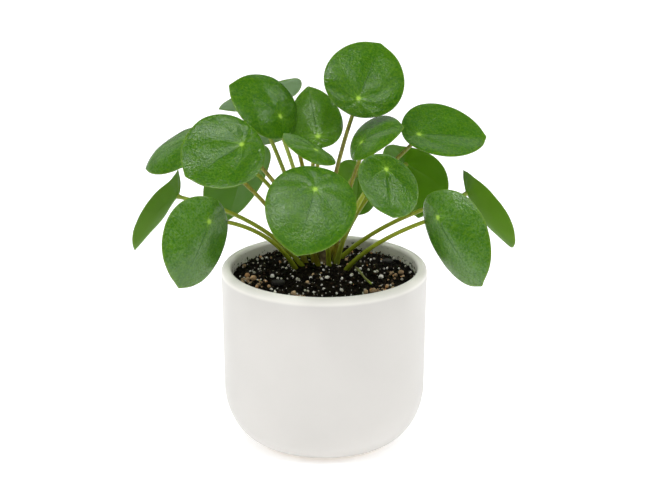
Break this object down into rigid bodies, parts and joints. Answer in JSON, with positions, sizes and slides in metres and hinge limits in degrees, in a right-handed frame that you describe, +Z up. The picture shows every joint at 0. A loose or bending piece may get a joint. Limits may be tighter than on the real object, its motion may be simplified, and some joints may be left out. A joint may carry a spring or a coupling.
{
  "type": "potted pilea plant",
  "caption": "Pilea plant with round, peltate leaves on thin arching petioles, rooted in dark gritty soil in a plain round-bellied ceramic pot.",
  "frame": {"origin": "on the ground under the middle of the pot, which is also the middle of the whole plant seen from above", "axes": "+Z up; +X to the right and -Y towards a person who stands in front of the plant's largest leaf"},
  "size_m": [0.2424, 0.1921, 0.2555],
  "materials": {
    "glazed_pot": "off-white satin glaze",
    "potting_soil": "moist dark peat mix, matt",
    "crown_bark": "green-brown scarred bark",
    "leaf_blade": "deep green, fleshy, glossy above and matt below",
    "petiole": "yellow-green to olive-brown, satin",
    "old_petiole": "dry, dull green-grey",
    "bark_chip": "dark, matt",
    "gravel_stone": "tan to orange, matt",
    "perlite": "off-white, porous"
  },
  "bodies": {
    "root": {"pot": "glazed_pot", "potting_soil": "potting_soil", "crown_stem": "crown_bark", "leaf_01": "leaf_blade", "petiole_01": "petiole", "leaf_02": "leaf_blade", "petiole_02": "petiole", "leaf_03": "leaf_blade", "petiole_03": "petiole", "leaf_04": "leaf_blade", "petiole_04": "petiole", "leaf_05": "leaf_blade", "petiole_05": "petiole", "leaf_06": "leaf_blade", "petiole_06": "petiole", "leaf_07": "leaf_blade", "petiole_07": "petiole", "leaf_08": "leaf_blade", "petiole_08": "petiole", "leaf_09": "leaf_blade", "petiole_09": "petiole", "leaf_10": "leaf_blade", "petiole_10": "petiole", "leaf_11": "leaf_blade", "petiole_11": "petiole", "leaf_12": "leaf_blade", "petiole_12": "petiole", "leaf_13": "leaf_blade", "petiole_13": "petiole", "leaf_14": "leaf_blade", "petiole_14": "petiole", "leaf_15": "leaf_blade", "petiole_15": "petiole", "leaf_16": "leaf_blade", "petiole_16": "petiole", "leaf_17": "leaf_blade", "petiole_17": "petiole", "leaf_18": "leaf_blade", "petiole_18": "petiole", "leaf_19": "leaf_blade", "petiole_19": "petiole", "old_petiole": "old_petiole", "bark_chip_1": "bark_chip", "bark_chip_2": "bark_chip", "stone_1": "gravel_stone", "stone_2": "gravel_stone", "stone_3": "gravel_stone", "stone_4": "gravel_stone", "stone_5": "gravel_stone", "stone_6": "gravel_stone", "perlite_1": "perlite", "perlite_2": "perlite", "perlite_3": "perlite"}
  },
  "joints": []
}
